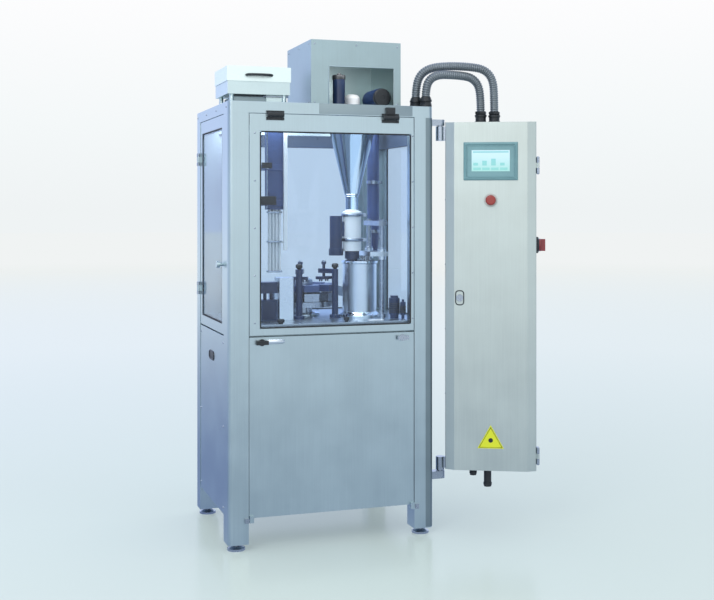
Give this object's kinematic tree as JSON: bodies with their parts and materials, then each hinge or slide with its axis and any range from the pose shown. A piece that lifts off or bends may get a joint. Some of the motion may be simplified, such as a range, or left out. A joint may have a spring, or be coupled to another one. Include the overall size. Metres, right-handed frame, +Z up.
{
  "type": "rotary capsule filling machine",
  "caption": "Pharmacy capsule filler: steel cabinet with glazed doors, turret, powder and capsule hoppers, and a swivelling control cabinet on a side arm.",
  "frame": {"origin": "on the floor at the centre of the whole machine, control cabinet included", "axes": "+Z up, +X to the operator's right, -Y towards the operator"},
  "size_m": [1.3366, 0.8061, 1.965],
  "materials": {
    "steel_body": "satin",
    "polished_steel": "polished",
    "machined_steel": "machined",
    "cabinet_steel": "satin",
    "clear_pane": "clear",
    "black_fittings": "matte",
    "dark_drives": "satin",
    "dark_blue": "satin",
    "white_feeder": "gloss",
    "rubber_seals": "matte",
    "conduit": "corrugated",
    "screen": "gloss",
    "electrics": "matte",
    "red_button": "gloss",
    "red_switch": "gloss"
  },
  "bodies": {
    "machine": {"auger_bearing": "polished_steel", "capsule_guides": "polished_steel", "capsule_hopper": "steel_body", "capsule_magazine": "dark_blue", "conduit_a": "conduit", "conduit_b": "conduit", "dosing_bowl": "polished_steel", "drive_units": "dark_drives", "dust_pipe": "dark_blue", "feeder_drives": "dark_drives", "fixed_hinges": "machined_steel", "frame_posts": "steel_body", "frame_rails": "steel_body", "levelling_feet": "machined_steel", "lower_panels": "steel_body", "powder_feeder": "white_feeder", "powder_hopper": "polished_steel", "powder_housing": "steel_body", "roof_fittings": "black_fittings", "roof_plate": "steel_body", "station_mounts": "dark_drives", "table_plate": "polished_steel", "tamping_columns": "machined_steel", "window_frames": "steel_body", "window_panes": "clear_pane"},
    "front_door": {"front_door_frame": "steel_body", "front_door_pane": "clear_pane", "front_hinge_leaves": "black_fittings"},
    "left_door": {"left_door_frame": "steel_body", "left_door_pane": "clear_pane"},
    "lower_front_cover": {"lower_front_cover": "steel_body"},
    "cover_latch_left": {"cover_latch_left": "black_fittings"},
    "cover_latch_right": {"cover_latch_right": "machined_steel"},
    "capsule_hopper_lid": {"capsule_hopper_lid": "steel_body"},
    "sowing_head": {"sowing_head": "dark_drives"},
    "auger": {"auger": "polished_steel"},
    "dosing_disc": {"dosing_disc": "machined_steel"},
    "tamping_head": {"tamping_head": "machined_steel"},
    "turret": {"turret": "machined_steel"},
    "upper_segments": {"upper_segments": "dark_blue"},
    "closing_head": {"closing_head": "dark_drives"},
    "ejecting_head": {"ejecting_head": "dark_drives"},
    "camshaft": {"camshaft": "machined_steel"},
    "control_cabinet": {"cabinet_shell": "cabinet_steel", "cabinet_equipment": "electrics", "cabinet_hinges": "machined_steel", "cabinet_fittings": "black_fittings"},
    "cabinet_door": {"cabinet_door": "cabinet_steel", "operator_screen": "screen"},
    "emergency_stop": {"emergency_stop": "red_button"},
    "cabinet_lock": {"cabinet_lock": "machined_steel"},
    "main_switch": {"main_switch": "red_switch"},
    "lower_segment_1": {"lower_segment_1": "machined_steel"},
    "lower_segment_2": {"lower_segment_2": "machined_steel"},
    "lower_segment_3": {"lower_segment_3": "machined_steel"},
    "lower_segment_4": {"lower_segment_4": "machined_steel"},
    "lower_segment_5": {"lower_segment_5": "machined_steel"},
    "lower_segment_6": {"lower_segment_6": "machined_steel"},
    "lower_segment_7": {"lower_segment_7": "machined_steel"},
    "lower_segment_8": {"lower_segment_8": "machined_steel"}
  },
  "joints": [
    {"name": "front_door_hinge", "type": "hinge", "parent": "machine", "child": "front_door", "pos_m": [-0.229, -0.247, 1.65], "axis": [-1, 0, 0], "range_deg": [0, 85]},
    {"name": "left_door_hinge", "type": "hinge", "parent": "machine", "child": "left_door", "pos_m": [-0.652, 0.319, 1.2], "axis": [0, 0, -1], "range_deg": [0, 110]},
    {"name": "lower_cover_hinge", "type": "hinge", "parent": "machine", "child": "lower_front_cover", "pos_m": [-0.229, -0.239, 0.116], "axis": [1, 0, 0], "range_deg": [0, 85]},
    {"name": "left_latch_turn", "type": "hinge", "parent": "lower_front_cover", "child": "cover_latch_left", "pos_m": [-0.513, -0.237, 0.786], "axis": [0, -1, 0], "range_deg": [0, 90]},
    {"name": "right_latch_turn", "type": "hinge", "parent": "lower_front_cover", "child": "cover_latch_right", "pos_m": [0.055, -0.237, 0.786], "axis": [0, -1, 0], "range_deg": [0, 90]},
    {"name": "hopper_lid_hinge", "type": "hinge", "parent": "machine", "child": "capsule_hopper_lid", "pos_m": [-0.496, 0.12, 1.843], "axis": [-1, 0, 0], "range_deg": [0, 95]},
    {"name": "sowing_slide", "type": "slide", "parent": "machine", "child": "sowing_head", "axis": [0, 0, 1], "range_m": [0, 0.02]},
    {"name": "auger_spin", "type": "hinge", "parent": "machine", "child": "auger", "pos_m": [-0.069, 0.023, 1.5], "axis": [0, 0, 1], "continuous": true},
    {"name": "turret_index", "type": "hinge", "parent": "machine", "child": "turret", "pos_m": [-0.244, 0.153, 0.9], "axis": [0, 0, 1], "continuous": true},
    {"name": "dosing_index", "type": "hinge", "parent": "machine", "child": "dosing_disc", "pos_m": [-0.036, 0.023, 0.975], "axis": [0, 0, 1], "continuous": true},
    {"name": "camshaft_spin", "type": "hinge", "parent": "machine", "child": "camshaft", "pos_m": [-0.229, 0.123, 0.56], "axis": [1, 0, 0], "continuous": true},
    {"name": "upper_segment_lift", "type": "slide", "parent": "turret", "child": "upper_segments", "axis": [0, 0, 1], "range_m": [0, 0.012]},
    {"name": "tamping_slide", "type": "slide", "parent": "machine", "child": "tamping_head", "axis": [0, 0, 1], "range_m": [0, 0.03]},
    {"name": "closing_slide", "type": "slide", "parent": "machine", "child": "closing_head", "axis": [0, 0, 1], "range_m": [0, 0.012]},
    {"name": "ejecting_slide", "type": "slide", "parent": "machine", "child": "ejecting_head", "axis": [0, 0, 1], "range_m": [0, 0.012]},
    {"name": "cabinet_swivel", "type": "hinge", "parent": "machine", "child": "control_cabinet", "pos_m": [0.22736, -0.20776, 1], "axis": [0, 0, 1], "range_deg": [-60, 25], "deforming": ["conduit_a", "conduit_b"]},
    {"name": "cabinet_door_hinge", "type": "hinge", "parent": "control_cabinet", "child": "cabinet_door", "pos_m": [0.56717, -0.39712, 0.9], "axis": [0, 0, 1], "range_deg": [0, 110]},
    {"name": "emergency_stop_press", "type": "slide", "parent": "cabinet_door", "child": "emergency_stop", "axis": [0.4226, 0.9063, 0], "range_m": [0, 0.006], "stiffness_N_per_m": 800},
    {"name": "cabinet_lock_turn", "type": "hinge", "parent": "cabinet_door", "child": "cabinet_lock", "pos_m": [0.28042, -0.28326, 0.94], "axis": [-0.4226, -0.9063, 0], "range_deg": [0, 90]},
    {"name": "main_switch_turn", "type": "hinge", "parent": "control_cabinet", "child": "main_switch", "pos_m": [0.59385, -0.3257, 1.148], "axis": [0.9063, -0.4226, 0], "range_deg": [0, 90]},
    {"name": "segment_slide_1", "type": "slide", "parent": "turret", "child": "lower_segment_1", "axis": [1, 0, 0], "range_m": [0, 0.02]},
    {"name": "segment_slide_2", "type": "slide", "parent": "turret", "child": "lower_segment_2", "axis": [0.7071, 0.7071, 0], "range_m": [0, 0.02]},
    {"name": "segment_slide_3", "type": "slide", "parent": "turret", "child": "lower_segment_3", "axis": [0, 1, 0], "range_m": [0, 0.02]},
    {"name": "segment_slide_4", "type": "slide", "parent": "turret", "child": "lower_segment_4", "axis": [-0.7071, 0.7071, 0], "range_m": [0, 0.02]},
    {"name": "segment_slide_5", "type": "slide", "parent": "turret", "child": "lower_segment_5", "axis": [-1, 0, 0], "range_m": [0, 0.02]},
    {"name": "segment_slide_6", "type": "slide", "parent": "turret", "child": "lower_segment_6", "axis": [-0.7071, -0.7071, 0], "range_m": [0, 0.02]},
    {"name": "segment_slide_7", "type": "slide", "parent": "turret", "child": "lower_segment_7", "axis": [0, -1, 0], "range_m": [0, 0.02]},
    {"name": "segment_slide_8", "type": "slide", "parent": "turret", "child": "lower_segment_8", "axis": [0.7071, -0.7071, 0], "range_m": [0, 0.02]}
  ],
  "couplings": [
    {"joint": "dosing_index", "follows": "turret_index", "ratio": -1.3333},
    {"joint": "camshaft_spin", "follows": "turret_index", "ratio": 8}
  ]
}
